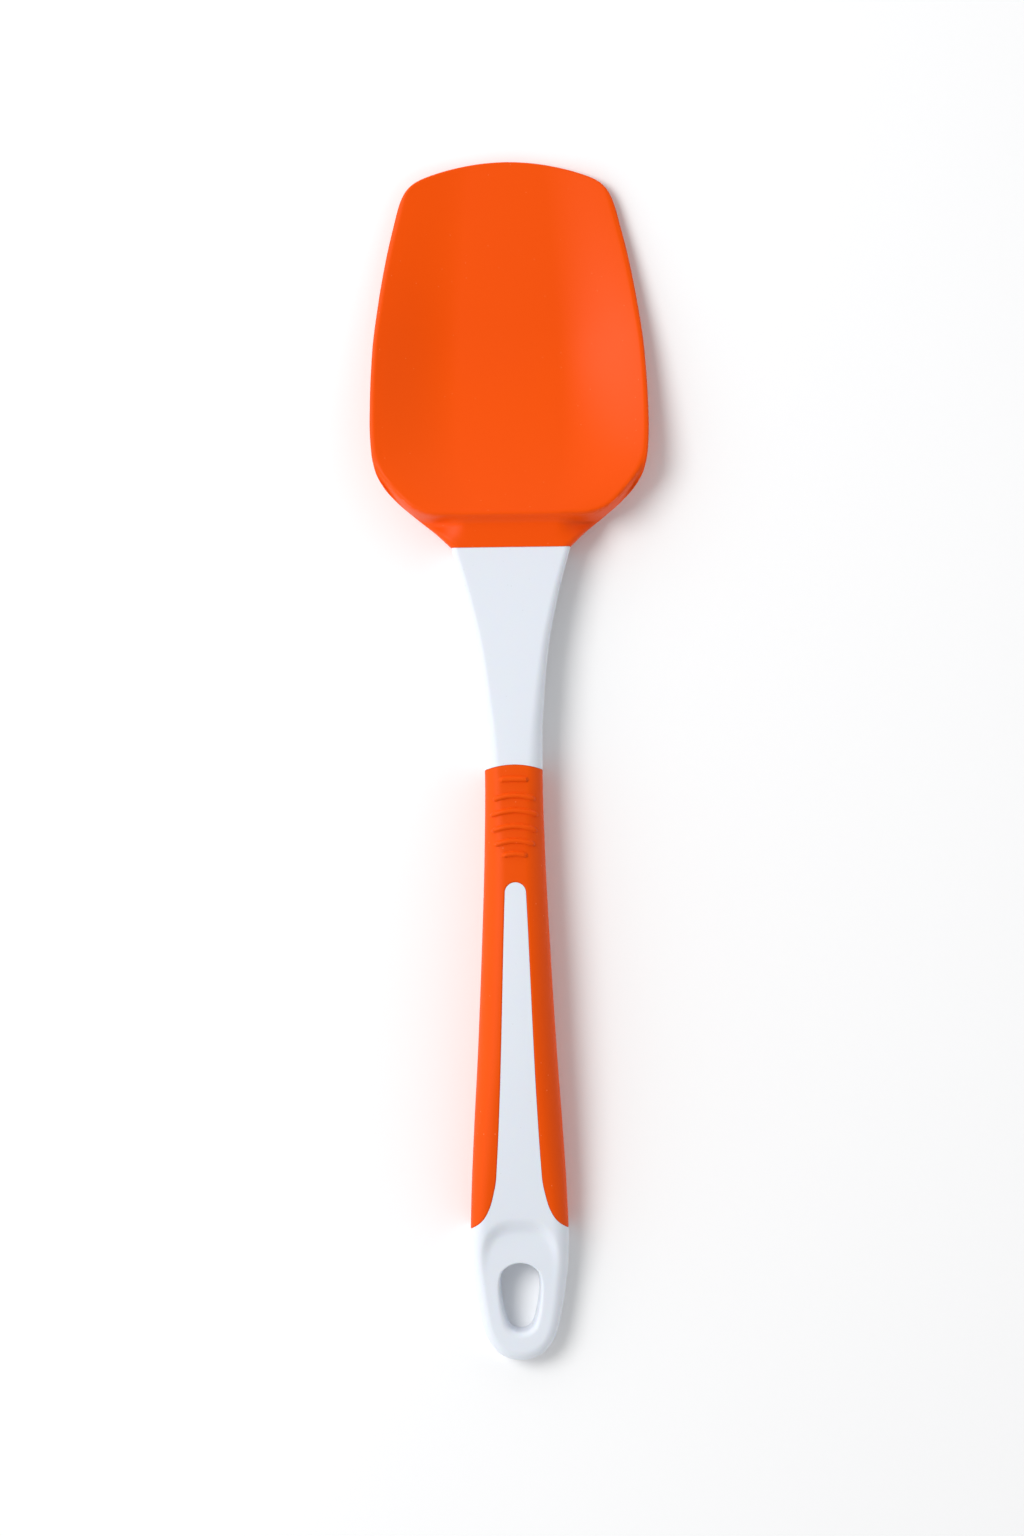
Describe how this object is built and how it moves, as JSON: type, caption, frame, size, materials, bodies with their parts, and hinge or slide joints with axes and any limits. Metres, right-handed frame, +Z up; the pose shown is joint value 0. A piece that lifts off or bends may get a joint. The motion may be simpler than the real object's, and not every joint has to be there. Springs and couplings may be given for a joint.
{
  "type": "silicone scoop spatula",
  "caption": "Kitchen scoop spatula: a shallow silicone scoop on a flared white handle with a soft two-legged grip, thumb ribs and a hanging eye.",
  "frame": {"origin": "middle of the bounding box's base, on the surface that the tool lies on", "axes": "+Y from the hanging eye to the scoop's tip, +Z up out of the scoop, +X to the right"},
  "size_m": [0.065, 0.28, 0.0138],
  "materials": {
    "orange_silicone": "satin moulded silicone",
    "orange_soft_touch": "matte soft-touch elastomer",
    "white_handle": "satin-gloss moulded polypropylene",
    "core_nylon": "natural glass-filled nylon"
  },
  "bodies": {
    "handle": {"handle": "white_handle", "blade_core": "core_nylon", "grip": "orange_soft_touch"},
    "scoop_head": {"scoop_head": "orange_silicone"}
  },
  "joints": [
    {"name": "head_pull_off", "type": "slide", "parent": "handle", "child": "scoop_head", "axis": [0, 1, 0], "range_m": [0, 0.04]}
  ]
}
